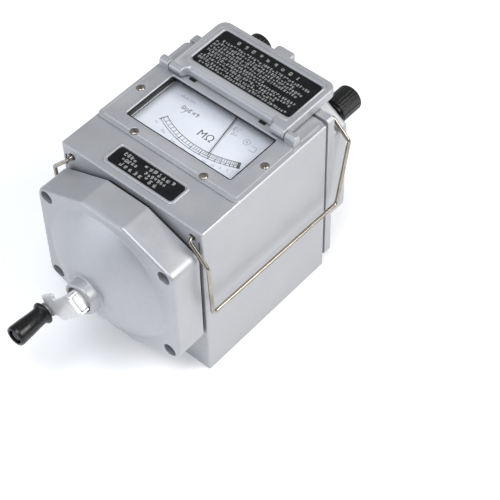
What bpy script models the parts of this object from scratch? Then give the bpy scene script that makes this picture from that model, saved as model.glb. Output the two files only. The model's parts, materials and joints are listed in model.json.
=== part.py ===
"""Hand-cranked insulation resistance tester, with its gears, generator and meter inside.

Frame: origin at the centre of the case's bottom face, +Z up, the crank at -Y and the
terminals at +Y. Sizes below are millimetres; every mesh is built in metres.
"""
import bmesh
import bpy
from math import atan2, cos, pi, radians, sin, tan
from mathutils import Matrix, Vector

MM = 0.001
GAP = 0.3                      # air between pieces that touch
REACH = 1.0                    # how far a cutter runs past the face it opens

# Case
CASE_W, CASE_L, CASE_H = 120.0, 119.0, 140.0
FRONT = -CASE_L / 2
WALL, TOP_WALL = 3.5, 2.5
BAND = 31.4                    # flat strip in front of the meter panel
BAIL_X, BAIL_Z = 51.4, 131.5   # where the wire bails pivot

# Meter panel, window and dial
PANEL_BASE, PANEL_STEP, PANEL_TOP = 140.3, 141.3, 142.0
WINDOW_X, WINDOW_Y0, WINDOW_Y1 = 44.5, 43.5, 88.0
PIVOT_X, PIVOT_Y = 2.5, 113.0  # the pointer's spindle, measured from the case's front
DIAL_TOP = 130.5
NEEDLE_LENGTH, NEEDLE_REST = 57.0, radians(11.5)

# Lid, shown folded back over the terminal end
LID_X, LID_LENGTH, LID_Z0, LID_Z1 = 48.8, 51.6, 142.6, 150.0
LABEL_X0, LABEL_X1, LABEL_Y0, LABEL_Y1 = -40.6, 42.4, 101.8, 136.2
HINGE_Y, HINGE_Z = 92.0, (142.6 + 150.0) / 2
BARREL_X, RELIEF_Y = 37.5, 94.0

# Front cover and dome, around the crank axis
AXIS_Z = 78.8
COVER_REAR, COVER_FACE = -2.3, -26.3
DOME_R, DOME_RISE, BOSS_R, BOSS_FACE = 51.0, 17.3, 12.4, -53.0
RECESS_FLOOR, BUSH_R = -50.0, 8.3
DOME_SIDES = 36
COVER_SCREW_X, COVER_SCREW_DZ = 50.5, 37.3
SCREW_R, SCREW_HOLE_R = 2.0, 2.3

# Rear cover and terminals
FLANGE_Y0, FLANGE_Y1, HOUSING_Y = 120.5, 127.0, 143.0
REAR_SCREWS = [(side * 52.0, z) for side in (-1, 1) for z in (52.0, 98.0)]
TERMINALS = {"line": (39.0, 112.4), "earth": (-39.0, 112.4), "guard": (0.0, 84.0)}
KNOB_END = 171.2

# Crank
SHAFT_R, SHAFT_TIP_R = 4.7, 3.5
ARM_ANGLE = radians(228.5)
# Along the arm, and out of the case's front face: the fold pin, and the arm's flat web.
FOLD_U, FOLD_OUT = -8.2, 57.9
WEB_OUT = (60.0, 62.0)
GRIP_U, GRIP_W = 32.0, -3.2    # the grip's axis, along the arm and across it

# Gear train: teeth, with a module of 1 mm
DRIVE_TEETH, SMALL_TEETH, IDLER_TEETH, ROTOR_TEETH = 64, 16, 48, 12
IDLER_X = 30.0
IDLER_Z = AXIS_Z - (((DRIVE_TEETH + SMALL_TEETH) / 2) ** 2 - IDLER_X ** 2) ** 0.5
ROTOR_X, ROTOR_Z = IDLER_X - (IDLER_TEETH + ROTOR_TEETH) / 2, IDLER_Z
BEARING_R = 2.3
ADDENDUM, DEDENDUM = 0.8, 1.25

# Joint axes, as points on them
CRANK_AXIS = (0, FRONT, AXIS_Z)
FOLD_AXIS = (FOLD_U * cos(ARM_ANGLE), FRONT - FOLD_OUT, AXIS_Z + FOLD_U * sin(ARM_ANGLE))
GRIP_AXIS = (GRIP_U * cos(ARM_ANGLE) - GRIP_W * sin(ARM_ANGLE), FRONT - 70,
             AXIS_Z + GRIP_U * sin(ARM_ANGLE) + GRIP_W * cos(ARM_ANGLE))
IDLER_AXIS = (IDLER_X, FRONT + 12, IDLER_Z)
ROTOR_AXIS = (ROTOR_X, FRONT + 22, ROTOR_Z)
LID_AXIS = (0, FRONT + HINGE_Y, HINGE_Z)
NEEDLE_AXIS = (PIVOT_X, FRONT + PIVOT_Y, DIAL_TOP)

MATERIALS = {
    "casting": ((0.50, 0.51, 0.53), 0.42, 0.55),
    "black_plate": ((0.012, 0.012, 0.013), 0.35, 0.0),
    "bakelite": ((0.012, 0.012, 0.012), 0.22, 0.0),
    "chrome": ((0.74, 0.73, 0.71), 0.12, 1.0),
    "steel": ((0.52, 0.52, 0.52), 0.3, 1.0),
    "brass": ((0.55, 0.40, 0.18), 0.3, 1.0),
    "screw": ((0.42, 0.33, 0.27), 0.35, 1.0),
    "copper": ((0.55, 0.25, 0.12), 0.35, 1.0),
    "white_card": ((0.85, 0.86, 0.88), 0.5, 0.0),
    "glass": ((0.80, 0.85, 0.85), 0.05, 0.0),
    "magnet": ((0.10, 0.10, 0.11), 0.5, 0.4),
    "board": ((0.03, 0.16, 0.08), 0.5, 0.0),
    "capacitor": ((0.04, 0.08, 0.25), 0.4, 0.0),
}


def clear_scene():
    for item in list(bpy.data.objects):
        bpy.data.objects.remove(item, do_unlink=True)


def material(slot):
    """The Principled material for one slot, made on first use."""
    if slot in bpy.data.materials:
        return bpy.data.materials[slot]
    colour, roughness, metallic = MATERIALS[slot]
    made = bpy.data.materials.new(slot)
    made.use_nodes = True
    shader = made.node_tree.nodes["Principled BSDF"]
    shader.inputs["Base Color"].default_value = (*colour, 1.0)
    shader.inputs["Roughness"].default_value = roughness
    shader.inputs["Metallic"].default_value = metallic
    return made


def place(name, bm, slot, origin=(0, 0, 0)):
    """Turn a bmesh in millimetres into an object whose origin lies on its joint's axis."""
    bmesh.ops.recalc_face_normals(bm, faces=bm.faces)
    bmesh.ops.translate(bm, vec=-Vector(origin), verts=bm.verts)
    bmesh.ops.scale(bm, vec=(MM, MM, MM), verts=bm.verts)
    mesh = bpy.data.meshes.new(name)
    bm.to_mesh(mesh)
    bm.free()
    mesh.shade_smooth()
    mesh.set_sharp_from_angle(angle=radians(35))
    thing = bpy.data.objects.new(name, mesh)
    thing.location = Vector(origin) * MM
    bpy.context.scene.collection.objects.link(thing)
    if slot:
        mesh.materials.append(material(slot))
    return thing


def blank_box(x, y, z):
    """A box between two x, two y (from the case's front face) and two z values."""
    bm = bmesh.new()
    bmesh.ops.create_cube(bm, size=1.0)
    size = (x[1] - x[0], y[1] - y[0], z[1] - z[0])
    centre = ((x[0] + x[1]) / 2, FRONT + (y[0] + y[1]) / 2, (z[0] + z[1]) / 2)
    bmesh.ops.scale(bm, vec=size, verts=bm.verts)
    bmesh.ops.translate(bm, vec=centre, verts=bm.verts)
    return bm


def loft(sections):
    """Skin between closed loops of equally many points, with flat ends."""
    bm = bmesh.new()
    rings = [[bm.verts.new(point) for point in section] for section in sections]
    count = len(rings[0])
    for low, high in zip(rings, rings[1:]):
        for i in range(count):
            j = (i + 1) % count
            bm.faces.new((low[i], low[j], high[j], high[i]))
    bm.faces.new(rings[0])
    bm.faces.new(list(reversed(rings[-1])))
    return bm


def prism(outline, y0, y1):
    """Extrude an (x, z) outline along Y; y0 and y1 are from the case's front face."""
    return loft([[(x, FRONT + y, z) for x, z in outline] for y in (y0, y1)])


def slab(outline, z0, z1):
    """Extrude an (x, y) outline upwards; its y values are from the case's front face."""
    return loft([[(x, FRONT + y, z) for x, y in outline] for z in (z0, z1)])


def ring_points(radius, sides):
    return [(radius * cos(2 * pi * i / sides), radius * sin(2 * pi * i / sides)) for i in range(sides)]


def rod(x, z, radius, y0, y1, sides=24):
    """A cylinder along Y."""
    return prism([(x + a, z + b) for a, b in ring_points(radius, sides)], y0, y1)


def upright(x, y, radius, z0, z1, sides=20):
    """A cylinder along Z."""
    return slab([(x + a, y + b) for a, b in ring_points(radius, sides)], z0, z1)


def crossbar(y, z, radius, x0, x1, sides=20):
    """A cylinder along X."""
    return loft([[(x, FRONT + y + a, z + b) for a, b in ring_points(radius, sides)] for x in (x0, x1)])


def turned(profile, x, z, sides=48):
    """Turn a closed (radius, y) profile about the Y axis through (x, z)."""
    bm = bmesh.new()
    columns = []
    for radius, y in profile:
        if radius == 0:
            columns.append([bm.verts.new((x, FRONT + y, z))] * sides)
        else:
            points = ring_points(radius, sides)
            columns.append([bm.verts.new((x + a, FRONT + y, z + b)) for a, b in points])
    for near, far in zip(columns, columns[1:] + columns[:1]):
        for i in range(sides):
            j = (i + 1) % sides
            corners = list(dict.fromkeys((near[i], near[j], far[j], far[i])))
            if len(corners) > 2:
                bm.faces.new(corners)
    return bm


def rounded(corners, radius, steps=5):
    """Replace each corner of a closed outline by an arc of the given radius."""
    points = []
    for before, corner, after in zip(corners[-1:] + corners[:-1], corners, corners[1:] + corners[:1]):
        points += arc_corner(Vector(before), Vector(corner), Vector(after), radius, steps)
    return [tuple(point) for point in points]


def arc_corner(before, corner, after, radius, steps):
    """Points of a fillet at a corner, in two or three dimensions."""
    back, ahead = (before - corner).normalized(), (after - corner).normalized()
    half = back.angle(ahead) / 2
    bisector = (back + ahead).normalized()
    centre = corner + bisector * (radius / sin(half))
    start = (corner + back * (radius / tan(half)) - centre).normalized()
    end = (corner + ahead * (radius / tan(half)) - centre).normalized()
    return [centre + start.slerp(end, i / steps) * radius for i in range(steps + 1)]


def rectangle(x0, x1, y0, y1):
    return [(x0, y0), (x1, y0), (x1, y1), (x0, y1)]


def gear_outline(teeth, x, z, phase):
    """Straight-sided teeth of module 1 with generous backlash; phase is in tooth pitches."""
    root, tip = teeth / 2 - DEDENDUM, teeth / 2 + ADDENDUM
    points = []
    for tooth in range(teeth):
        for share, radius in ((-0.30, root), (-0.12, tip), (0.12, tip), (0.30, root)):
            angle = 2 * pi * (tooth + phase + share) / teeth
            points.append((x + radius * cos(angle), z + radius * sin(angle)))
    return points


def modify(target, tool_mesh, operation):
    tool = place(f"{target.name}_tool_{len(target.modifiers)}", tool_mesh, None)
    tool.hide_render = True
    tool.display_type = "WIRE"
    step = target.modifiers.new(operation.lower(), "BOOLEAN")
    step.operation = operation
    step.solver = "EXACT"
    step.object = tool


def cut(target, *tools):
    for tool in tools:
        modify(target, tool, "DIFFERENCE")


def fuse(target, *additions):
    for addition in additions:
        modify(target, addition, "UNION")


def soften(target, width, segments=2, angle=40):
    bevel = target.modifiers.new("bevel", "BEVEL")
    bevel.width = width * MM
    bevel.segments = segments
    bevel.limit_method = "ANGLE"
    bevel.angle_limit = radians(angle)


# ---------------------------------------------------------------- housing

def cover_outline(scale=1.0):
    """The eight-sided outline that the front cover has, about the crank axis."""
    corners = []
    for sx, sz in ((1, 1), (-1, 1), (-1, -1), (1, -1)):
        pair = [(sx * 58.7, AXIS_Z + sz * 40.6), (sx * 17.3, AXIS_Z + sz * 57.8)]
        corners += pair if sx * sz > 0 else pair[::-1]
    outline = rounded(corners, 7.0, 3)
    return [(x * scale, AXIS_Z + (z - AXIS_Z) * scale) for x, z in outline]


def cover_screw_places():
    return [(sx * COVER_SCREW_X, AXIS_Z + sz * COVER_SCREW_DZ) for sx in (-1, 1) for sz in (-1, 1)]


def main_case():
    case = place("main_case", blank_box((-CASE_W / 2, CASE_W / 2), (0, CASE_L), (0, CASE_H)), "casting")
    soften(case, 1.2)
    inner = CASE_W / 2 - WALL
    cut(case, blank_box((-inner, inner), (WALL, CASE_L + REACH), (WALL, CASE_H - TOP_WALL)))
    # seats for the cover screws and standoffs for the circuit board
    for x, z in cover_screw_places():
        side = 1 if x > 0 else -1
        near, far = sorted((side * 45.0, side * (inner + REACH)))
        fuse(case, blank_box((near, far), (WALL - REACH, 14), (z - 6, z + 6)))
    for x, z in REAR_SCREWS:
        side = 1 if x > 0 else -1
        near, far = sorted((side * 47.0, side * (inner + REACH)))
        fuse(case, blank_box((near, far), (104, CASE_L - 0.5), (z - 5.5, z + 5.5)))
    for y in (42, 92):
        for z in (32, 84):
            fuse(case, crossbar(y, z, 2.5, -inner - REACH, -52.0, 12))
    # raised frame around the nameplate
    fuse(case, slab(rounded(rectangle(-30, 30, 5, 24.5), 3.5, 3), CASE_H - REACH, CASE_H + 1.0))
    cut(case, slab(rounded(rectangle(-27.8, 27.8, 7.2, 22.3), 2.0, 3), CASE_H - 0.3, CASE_H + 2))
    # openings: window, crank shaft, idler bearing, bails, screws
    cut(case, blank_box((-47, 47), (41, 90.5), (CASE_H - 4, CASE_H + 2)))
    cut(case, rod(0, AXIS_Z, SHAFT_R + GAP, -REACH, WALL + REACH))
    cut(case, rod(IDLER_X, IDLER_Z, BEARING_R, -REACH, WALL + REACH, 16))
    for side in (-1, 1):
        cut(case, rod(side * BAIL_X, BAIL_Z, 1.75, -REACH, WALL + REACH, 16))
        cut(case, blank_box(sorted((side * 56.2, side * 57.6)), (-REACH, 1.6), (122, 131)))
    for x, z in cover_screw_places():
        cut(case, rod(x, z, SCREW_HOLE_R, -REACH, 15, 16))
    for x, z in REAR_SCREWS:
        cut(case, rod(x, z, SCREW_HOLE_R, 103, CASE_L + REACH, 16))
    for x, y in panel_screw_places():
        cut(case, upright(x, y, 1.8, CASE_H - 4, CASE_H + REACH, 12))


def front_cover():
    stations = ((COVER_FACE, 0.955), (COVER_FACE + 0.8, 0.985), (COVER_FACE + 2.6, 1.0),
                (COVER_REAR - 1.0, 1.0), (COVER_REAR, 0.985))
    sections = [[(x, FRONT + y, z) for x, z in cover_outline(s)] for y, s in stations]
    cover = place("front_cover", loft(sections), "casting")
    # inset lip that seats on the case and leaves a dark seam around it
    fuse(cover, prism(cover_outline(0.955), COVER_REAR - REACH, -GAP))
    dome = [(BUSH_R + GAP, COVER_FACE + 2), (DOME_R, COVER_FACE + 2), (DOME_R, COVER_FACE - 0.1)]
    dome += [(r, COVER_FACE - DOME_RISE * ((DOME_R - r) / 31.0) ** 0.82) for r in (48, 42, 34, 26)]
    dome += [(20.0, -43.6), (16.5, -44.6), (BOSS_R + 0.6, -44.8), (BOSS_R, -45.4), (BOSS_R, -52.0),
             (BOSS_R - 1.0, BOSS_FACE), (9.4, BOSS_FACE), (9.4, RECESS_FLOOR), (BUSH_R + GAP, RECESS_FLOOR)]
    fuse(cover, turned(dome, 0, AXIS_Z, DOME_SIDES))
    hollow = [(0, REACH), (49.8, REACH), (49.8, -22.5), (44, -27.5), (34, -33.0), (22, -37.5), (0, -38.5)]
    cut(cover, turned(hollow, 0, AXIS_Z, DOME_SIDES))
    for x, z in cover_screw_places():
        cut(cover, rod(x, z, 4.8, COVER_FACE - REACH, -9, 16))
        cut(cover, rod(x, z, SCREW_HOLE_R, -10, REACH, 12))


def housing_outline(scale=1.0):
    """Outline of the terminal housing, scaled about its middle."""
    corners = [(58.7, 43), (58.7, 121.3), (30, 139.8), (-30, 139.8), (-58.7, 121.3),
               (-58.7, 43), (-20, 24), (20, 24)]
    outline = rounded(corners, 5.0, 3)
    return [(x * scale, 82 + (z - 82) * scale) for x, z in outline]


def rear_cover():
    corners = [(-60, 10), (-55, 5), (55, 5), (60, 10), (60, PANEL_TOP - 2), (58, PANEL_TOP),
               (-58, PANEL_TOP), (-60, PANEL_TOP - 2)]
    cover = place("rear_cover", prism(corners, FLANGE_Y0, FLANGE_Y1), "casting")
    lip = [(-57.5, 8), (57.5, 8), (57.5, 137), (-57.5, 137)]
    fuse(cover, prism(lip, CASE_L + GAP, FLANGE_Y0 + REACH))
    stations = ((FLANGE_Y1 - REACH, 1.0), (HOUSING_Y - 2.2, 1.0), (HOUSING_Y - 0.7, 0.985),
                (HOUSING_Y, 0.955))
    fuse(cover, loft([[(x, FRONT + y, z) for x, z in housing_outline(s)] for y, s in stations]))
    # lug behind the folded lid, and a boss for each bail
    fuse(cover, slab(rounded(rectangle(-7.5, 7.5, 142, 151.5), 3.0, 3), 126, 146.5))
    lid_end = HINGE_Y + LID_LENGTH + 0.5
    cut(cover, blank_box((-9, 9), (CASE_L, lid_end), (PANEL_TOP + GAP, LID_Z1)))
    for side in (-1, 1):
        fuse(cover, rod(side * BAIL_X, BAIL_Z, 4.5, FLANGE_Y1 - REACH, 131.5, 20))
    cut(cover, prism(housing_outline(0.945), CASE_L - REACH, HOUSING_Y - 3))
    for x, z in REAR_SCREWS:
        fuse(cover, rod(x, z, 5.6, FLANGE_Y0 + 0.2, HOUSING_Y - 1.5, 20))
        cut(cover, rod(x, z, 3.8, 131, HOUSING_Y + REACH, 20))
        cut(cover, rod(x, z, SCREW_HOLE_R, CASE_L - REACH, 132, 16))
    for side in (-1, 1):
        cut(cover, rod(side * BAIL_X, BAIL_Z, 1.75, 122.5, 133, 16))
    for x, z in TERMINALS.values():
        cut(cover, rod(x, z, 2.8, HOUSING_Y - 5, HOUSING_Y + REACH, 16))


def cover_screw(name, x, z, head_y, tip_y, head_r, out):
    """A pan-head machine screw along Y with a slot; out is -1 or 1, the side of its head."""
    height = 2.4
    profile = [(0, tip_y), (SCREW_R, tip_y), (SCREW_R, head_y), (head_r, head_y),
               (head_r, head_y + out * 1.4), (head_r - 0.9, head_y + out * height),
               (0, head_y + out * height)]
    screw = place(name, turned(profile, x, z, 14), "steel")
    slot_y = sorted((head_y + out * 1.2, head_y + out * (height + REACH)))
    cut(screw, blank_box((x - 0.5, x + 0.5), slot_y, (z - 6, z + 6)))


def cover_screws():
    for number, (x, z) in enumerate(cover_screw_places(), 1):
        cover_screw(f"front_screw_{number}", x, z, -9 - GAP, 12.0, 3.9, -1)
    for number, (x, z) in enumerate(REAR_SCREWS, 1):
        cover_screw(f"rear_screw_{number}", x, z, 131 + GAP, 106.0, 3.3, 1)


# ---------------------------------------------------------------- panel, lid and meter

def panel_screw_places():
    return [(-53.0, 66.2), (53.0, 66.2), (-29.5, 35.2), (29.5, 35.2)]


def meter_panel():
    end = CASE_L - 0.3
    panel = place("meter_panel", slab(rounded(rectangle(-59.8, 59.8, BAND, end), 0.8, 2),
                                      PANEL_BASE, PANEL_STEP), "casting")
    fuse(panel, slab(rounded(rectangle(-56.5, 56.5, BAND + 0.6, end - 0.6), 1.5, 3),
                     PANEL_STEP - 0.5, PANEL_TOP))
    for side in (-1, 1):
        ear = loft([[(x, FRONT + y, z) for y, z in ear_outline()] for x in (side * 49.3, side * 57.6)])
        fuse(panel, ear)
    cut(panel, slab(rounded(rectangle(-WINDOW_X, WINDOW_X, WINDOW_Y0, WINDOW_Y1), 1.0, 2), 139, 150))
    cut(panel, crossbar(HINGE_Y, HINGE_Z, 1.8, -70, 70))
    for x, y in panel_screw_places():
        cut(panel, upright(x, y, 3.1, PANEL_TOP - 0.9, PANEL_TOP + REACH, 16))
        cut(panel, upright(x, y, 1.8, PANEL_BASE - REACH, PANEL_TOP, 12))


def ear_outline():
    """Side view of a hinge ear: a round top on the lid's axis, standing on the panel."""
    top = [(HINGE_Y + 3.4 * cos(a), HINGE_Z + 3.4 * sin(a)) for a in (pi * i / 10 for i in range(11))]
    return top + [(HINGE_Y - 4.2, PANEL_TOP - 1.0), (HINGE_Y + 4.6, PANEL_TOP - 1.0)]


def panel_screws():
    for number, (x, y) in enumerate(panel_screw_places(), 1):
        head = upright(x, y, 2.7, PANEL_TOP - 0.6, PANEL_TOP + 0.4)
        screw = place(f"panel_screw_{number}", head, "screw")
        fuse(screw, upright(x, y, 1.5, CASE_H - TOP_WALL, PANEL_TOP, 16))
        cut(screw, blank_box((x - 0.4, x + 0.4), (y - 4, y + 4), (PANEL_TOP, PANEL_TOP + REACH)))


def nameplate():
    place("nameplate", slab(rounded(rectangle(-27.5, 27.5, 7.5, 22.0), 1.8, 3), CASE_H, CASE_H + 0.7),
          "black_plate")


def lid():
    """A shallow tray lying open on its back, with a hinge barrel at each end of its near edge."""
    end = HINGE_Y + LID_LENGTH
    cap = place("lid", slab(lid_outline(end), LID_Z0, LID_Z1), "casting", LID_AXIS)
    soften(cap, 1.2, 3, 60)
    for side in (-1, 1):
        barrel = sorted((side * BARREL_X, side * LID_X))
        fuse(cap, crossbar(HINGE_Y, HINGE_Z, (LID_Z1 - LID_Z0) / 2, *barrel, 24))
    cut(cap, slab(rounded(rectangle(-45, 45, 97.5, end - 3.6), 4.0, 3), LID_Z1 - 0.8, LID_Z1 + REACH))
    fuse(cap, slab(rounded(rectangle(-43.6, 43.6, 99, end - 5), 3.0, 3), LID_Z1 - 1.4, LID_Z1 - 0.2))
    pocket = rectangle(LABEL_X0 - GAP, LABEL_X1 + GAP, LABEL_Y0 - GAP, LABEL_Y1 + GAP)
    cut(cap, slab(rounded(pocket, 2.2, 3), LID_Z1 - 1.2, LID_Z1 + REACH))
    label = rounded(rectangle(LABEL_X0, LABEL_X1, LABEL_Y0, LABEL_Y1), 2.0, 3)
    place("lid_label", slab(label, LID_Z1 - 0.9, LID_Z1 - 0.4), "black_plate", LID_AXIS)
    for name, side in (("lid_pin_left", -1), ("lid_pin_right", 1)):
        cut(cap, crossbar(HINGE_Y, HINGE_Z, 1.8, *sorted((side * 39.0, side * 60.0))))
        place(name, crossbar(HINGE_Y, HINGE_Z, 1.5, *sorted((side * 39.6, side * 57.2)), 16), "steel")


def lid_outline(end):
    """Plan view of the lid: a relieved near edge between the barrels and two rounded far corners."""
    square = [Vector(p) for p in ((-LID_X, HINGE_Y), (LID_X, HINGE_Y), (LID_X, end), (-LID_X, end))]
    corners = arc_corner(square[1], square[2], square[3], 8.0, 5)
    corners += arc_corner(square[2], square[3], square[0], 8.0, 5)
    relief = [(-BARREL_X, HINGE_Y), (1.5 - BARREL_X, RELIEF_Y), (BARREL_X - 1.5, RELIEF_Y),
              (BARREL_X, HINGE_Y)]
    return [tuple(square[0])] + relief + [tuple(square[1])] + [tuple(p) for p in corners]


def window():
    gasket = place("window_gasket", slab(rectangle(-46.7, 46.7, 41.3, 90.2), 137.3, CASE_H), "bakelite")
    cut(gasket, slab(rectangle(-WINDOW_X, WINDOW_X, WINDOW_Y0, WINDOW_Y1), 136, 142))
    place("window_glass", slab(rectangle(-49, 49, 39.5, 92), 135.3, 137.0), "glass")


def meter_tray():
    tray = place("meter_tray", blank_box((-49.5, 49.5), (38.5, 118.3), (127, 135)), "bakelite")
    cut(tray, blank_box((-47.3, 47.3), (40.6, 116.3), (129.2, 136)))
    cut(tray, upright(PIVOT_X, PIVOT_Y, 2.0, 126, 130, 16))
    dial = place("dial_plate", blank_box((-47, 47), (41, 116), (DIAL_TOP - 1, DIAL_TOP)), "white_card")
    cut(dial, upright(PIVOT_X, PIVOT_Y, 3.2, DIAL_TOP - 2, DIAL_TOP + REACH, 16))


def meter_movement():
    """Ring magnet with a core on two arms and a bridge below it, the coil and the pointer."""
    x, y = PIVOT_X, PIVOT_Y
    magnet = place("magnet_system", upright(x, y, 15, 106, 122, 24), "magnet")
    cut(magnet, upright(x, y, 10.6, 105, 123, 24))
    arms = blank_box((x - 12, x + 12), (y - 2.5, y + 2.5), (111, 117))
    fuse(magnet, upright(x, y, 6.3, 107, 121, 20), arms)
    for side in (-1, 1):
        fuse(magnet, upright(x + side * 12.8, y, 1.7, 100.5, 127 - GAP, 12))
    fuse(magnet, blank_box((x - 15, x + 15), (y - 2.3, y + 2.3), (99.5, 101.5)))
    pivot = (x, FRONT + y, 0)
    coil = place("moving_coil", blank_box((x - 1.5, x + 1.5), (y - 9.5, y + 9.5), (104.3, 123.7)), "copper",
                 NEEDLE_AXIS)
    cut(coil, blank_box((x - 3, x + 3), (y - 7.6, y + 7.6), (106.2, 121.8)))
    fuse(coil, upright(x, y, 0.9, 123.2, 133.4, 12), upright(x, y, 0.9, 101.9, 104.8, 12))
    turn = Matrix.Rotation(NEEDLE_REST, 3, "Z")
    blade = slab([(x - 0.8, y), (x + 0.8, y), (x + 0.25, y - NEEDLE_LENGTH), (x - 0.25, y - NEEDLE_LENGTH)],
                 132.0, 132.5)
    bmesh.ops.rotate(blade, cent=pivot, matrix=turn, verts=blade.verts)
    needle = place("pointer", upright(x, y, 2.6, 131.7, 133.0, 20), "black_plate", NEEDLE_AXIS)
    fuse(needle, blade)
    cut(needle, upright(x, y, 1.2, 131, 134, 12))


# ---------------------------------------------------------------- crank

def crank_turned(bm):
    """Turn a piece drawn with its arm along +X, on the Y axis, to the arm's rest angle."""
    bmesh.ops.rotate(bm, cent=(0, 0, 0), matrix=Matrix.Rotation(-ARM_ANGLE, 3, "Y"), verts=bm.verts)
    bmesh.ops.translate(bm, vec=(0, 0, AXIS_Z), verts=bm.verts)
    return bm


def crank_box(u, out, w):
    return crank_turned(blank_box(u, (-out[1], -out[0]), w))


def crank_pin(radius, w0, w1, sides=20):
    """A cylinder along the fold pin's axis."""
    bm = loft([[(FOLD_U + a, FRONT - FOLD_OUT + b, w) for a, b in ring_points(radius, sides)]
               for w in (w0, w1)])
    return crank_turned(bm)


def crank_shaft():
    shaft = place("crank_shaft", rod(0, AXIS_Z, SHAFT_R, -50.3, 34, 24), "steel", CRANK_AXIS)
    fuse(shaft, rod(0, AXIS_Z, SHAFT_TIP_R, -57, -49, 20))
    bush = place("shaft_bush", rod(0, AXIS_Z, BUSH_R, -49.7, -38.2, 24), "brass")
    cut(bush, rod(0, AXIS_Z, SHAFT_R + 0.1, -60, -30, 24))


def crank_hub():
    """Block on the shaft's end, with a collar behind it and a knuckle for the fold pin."""
    hub = place("crank_hub", crank_box((FOLD_U, 5.0), (54.9, 59.7), (-5.4, 5.4)), "chrome", CRANK_AXIS)
    fuse(hub, rod(0, AXIS_Z, 7.5, -55.2, -50.6, 24), crank_pin(1.8, -5.3, 5.3))
    cut(hub, rod(0, AXIS_Z, SHAFT_TIP_R + GAP, -57.3, -40, 20), crank_pin(1.3, -20, 20, 16))
    place("fold_pin", crank_pin(1.0, -7.2, 7.2, 16), "steel", FOLD_AXIS)


def arm_outline():
    """Flat view of the arm's web: wide over the hub, a side lug, and a round end at the grip."""
    centre = Vector((GRIP_U, GRIP_W))
    tip = [centre + Vector((cos(a), sin(a))) * 5.5 for a in (radians(d) for d in range(75, -76, -15))]
    lug = [(26.8, -9.6), (24.2, -13.8), (10.0, -12.6), (13.5, -8.4)]
    rear = [(-6.9, -9.0), (-8.4, -8.8), (-9.9, -7.2), (-9.9, 7.2), (18.8, 7.3), (22.8, 2.2)]
    return rear + [tuple(p) for p in tip] + lug


def crank_arm():
    web = loft([[(u, FRONT - out, w) for u, w in arm_outline()] for out in WEB_OUT])
    arm = place("crank_arm", crank_turned(web), "steel", FOLD_AXIS)
    for side in (-1, 1):
        fuse(arm, crank_box((-9.8, 4.0), (55.5, WEB_OUT[0] + 1), sorted((side * 5.7, side * 7.1))))
    cut(arm, crank_pin(2.1, -5.55, 5.55))
    cut(arm, crank_pin(1.3, -20, 20, 16))
    cut(arm, crank_box((-12, FOLD_U + 0.2), (54, 64), (-5.55, 5.55)))
    fuse(arm, crank_turned(turned([(0, -61), (4.2, -61), (4.2, -63.2), (0, -63.2)], GRIP_U, GRIP_W, 20)))
    cut(arm, crank_turned(turned([(0, -50), (2.3, -50), (2.3, -70), (0, -70)], GRIP_U, GRIP_W, 16)))
    spindle = [(0, -57.9), (3.4, -57.9), (3.4, -59.7), (2.0, -59.7), (2.0, -87.6), (3.6, -87.6),
               (3.6, -89.2), (0, -89.2)]
    place("grip_spindle", crank_turned(turned(spindle, GRIP_U, GRIP_W, 20)), "steel", FOLD_AXIS)


def grip():
    """Bakelite grip that spins on its spindle: a flange, a waist, a swelling hollow end."""
    profile = [(2.4, -63.6), (7.0, -63.6), (8.0, -64.8), (7.8, -66.4), (6.1, -68.4), (6.7, -77.0),
               (7.4, -88.4), (7.0, -90.0), (6.0, -90.5), (5.2, -89.8), (5.2, -87.2), (2.4, -87.2)]
    place("grip", crank_turned(turned(profile, GRIP_U, GRIP_W, 24)), "bakelite", GRIP_AXIS)


# ---------------------------------------------------------------- gears and generator

def gear_train():
    mesh_angle = atan2(AXIS_Z - IDLER_Z, -IDLER_X)       # from the idler to the crank axis
    drive_phase = DRIVE_TEETH * (mesh_angle + pi) / (2 * pi)
    drive = place("drive_gear", prism(gear_outline(DRIVE_TEETH, 0, AXIS_Z, drive_phase), 9, 14), "brass",
                  CRANK_AXIS)
    cut(drive, rod(0, AXIS_Z, SHAFT_R + GAP, 0, 20, 24))
    small_phase = SMALL_TEETH * mesh_angle / (2 * pi) + 0.5
    idler = place("idler_gear", prism(gear_outline(IDLER_TEETH, IDLER_X, IDLER_Z, 0.5), 20, 24), "brass",
                  IDLER_AXIS)
    fuse(idler, rod(IDLER_X, IDLER_Z, 2.0, GAP, 34, 16))
    fuse(idler, prism(gear_outline(SMALL_TEETH, IDLER_X, IDLER_Z, small_phase), 8.5, 14.5))
    rotor = place("rotor_shaft", prism(gear_outline(ROTOR_TEETH, ROTOR_X, ROTOR_Z, 0), 19.5, 24.5), "steel",
                  ROTOR_AXIS)
    fuse(rotor, rod(ROTOR_X, ROTOR_Z, 3.0, 17, 93, 20))


def gear_frame():
    frame = place("gear_frame", blank_box((-45, 55), (31, 33), (20, 116)), "steel")
    for x, z in ((-40, 30), (-40, 111), (40, 111), (50, 25)):
        fuse(frame, rod(x, z, 3.0, WALL + GAP, 32, 16))
    cut(frame, rod(0, AXIS_Z, SHAFT_R + 0.1, 20, 40), rod(IDLER_X, IDLER_Z, BEARING_R, 20, 40, 16))
    cut(frame, rod(ROTOR_X, ROTOR_Z, 3.3, 20, 40, 20))


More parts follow.
